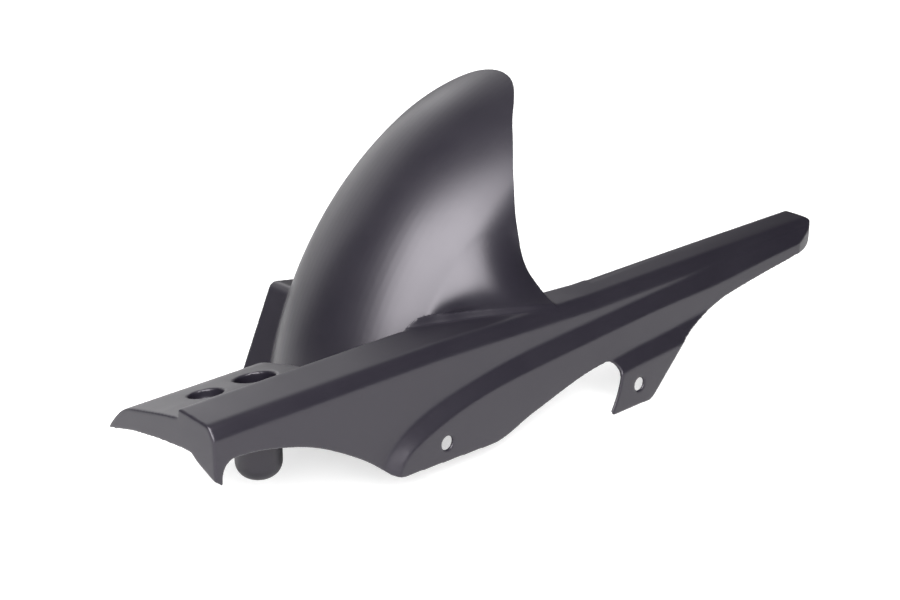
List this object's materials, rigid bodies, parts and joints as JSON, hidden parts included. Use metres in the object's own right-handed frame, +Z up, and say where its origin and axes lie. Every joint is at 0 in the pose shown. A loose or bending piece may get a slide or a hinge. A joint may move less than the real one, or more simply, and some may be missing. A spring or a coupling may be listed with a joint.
{
  "type": "rear hugger mudguard",
  "caption": "Black moulded rear wheel hugger: a crowned arch over the tyre that flares into a long chain guard with a stepped side skirt and a front plate.",
  "frame": {"origin": "centre of the front fixing hole, on the outer face of the side skirt", "axes": "+X rearward along the chain guard, +Y towards the right side of the motorcycle, +Z up"},
  "size_m": [0.7337, 0.283, 0.2818],
  "materials": {
    "moulded_abs": "satin black, finely textured moulded ABS"
  },
  "bodies": {
    "root": {"hugger_shell": "moulded_abs"}
  },
  "joints": []
}
